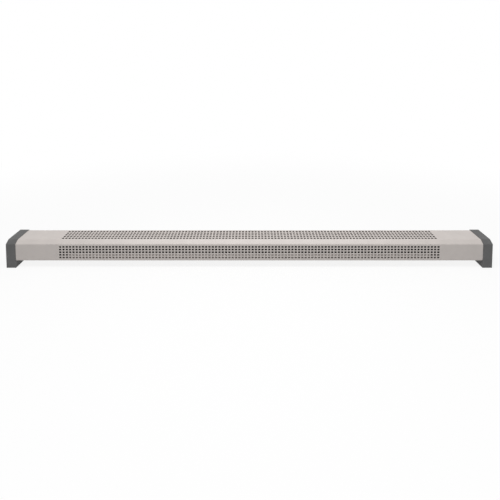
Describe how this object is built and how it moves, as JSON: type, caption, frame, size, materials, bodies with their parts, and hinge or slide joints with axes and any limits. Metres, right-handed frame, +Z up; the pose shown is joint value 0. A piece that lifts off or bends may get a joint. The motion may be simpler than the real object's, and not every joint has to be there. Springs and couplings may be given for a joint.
{
  "type": "plinth heater",
  "caption": "Long low electric plinth heater: folded perforated steel cover with a chamfered front edge, dark moulded end caps that form the feet, finned element and wiring bays inside.",
  "frame": {"origin": "on the floor, under the middle of the heater", "axes": "+X along the length to the right seen from the front, -Y out of the front face, +Z up"},
  "size_m": [1.466, 0.059, 0.0832],
  "materials": {
    "body_paint": "satin powder coat, warm light grey",
    "cap_plastic": "fine-grained dark grey moulding",
    "rubber": "matt black rubber",
    "zinc_sheet": "zinc-coated sheet",
    "rivet_aluminium": "plain aluminium",
    "screw_steel": "bright zinc plated",
    "sheath_steel": "heat-darkened stainless steel",
    "fin_black": "matt black heat-resistant finish",
    "insulating_powder": "pressed mineral powder",
    "porcelain": "unglazed off-white porcelain",
    "block_plastic": "moulded, off-white",
    "brass": "turned brass",
    "limiter_plastic": "dark moulded resin",
    "button_red": "glossy red moulding",
    "connector_plastic": "translucent white sleeve",
    "copper": "drawn copper",
    "wire_brown": "brown insulation",
    "wire_black": "black insulation",
    "wire_white": "white glass-fibre sleeve",
    "wire_green": "green and yellow insulation",
    "tinned_copper": "tinned",
    "clip_plastic": "natural nylon"
  },
  "bodies": {
    "heater": {"back_tray": "body_paint", "bulkhead_grommets": "rubber", "cable_inlet": "rubber", "cover_screws": "screw_steel", "earth_nut": "brass", "earth_stud": "screw_steel", "earth_washer": "screw_steel", "earth_wire": "wire_green", "element_core": "insulating_powder", "element_fins": "fin_black", "element_sheath": "sheath_steel", "end_cap_screws": "screw_steel", "hanger_rivets": "rivet_aluminium", "left_bulkhead": "zinc_sheet", "left_element_bush": "porcelain", "left_element_seal": "porcelain", "left_end_cap": "cap_plastic", "left_end_plate": "zinc_sheet", "left_foot_pad": "rubber", "left_hanger": "zinc_sheet", "left_terminal_stud": "screw_steel", "limiter_body": "limiter_plastic", "limiter_nut": "brass", "limiter_tabs": "brass", "live_wire": "wire_brown", "neutral_wire": "wire_white", "perforated_cover": "body_paint", "plate_rivets": "rivet_aluminium", "push_on_connectors": "connector_plastic", "right_bulkhead": "zinc_sheet", "right_element_bush": "porcelain", "right_element_seal": "porcelain", "right_end_cap": "cap_plastic", "right_end_plate": "zinc_sheet", "right_foot_pad": "rubber", "right_hanger": "zinc_sheet", "right_terminal_stud": "screw_steel", "ring_terminals": "tinned_copper", "sensing_tube": "copper", "switched_live_wire": "wire_black", "terminal_barrels": "brass", "terminal_block": "block_plastic", "terminal_block_screws": "screw_steel", "terminal_clamp_screws": "brass", "terminal_nuts": "screw_steel", "terminal_washers": "screw_steel", "wire_clips": "clip_plastic"},
    "reset_button": {"reset_button": "button_red"}
  },
  "joints": [
    {"name": "reset_press", "type": "slide", "parent": "heater", "child": "reset_button", "axis": [0, 0, 1], "range_m": [0, 0.002], "stiffness_N_per_m": 300}
  ]
}
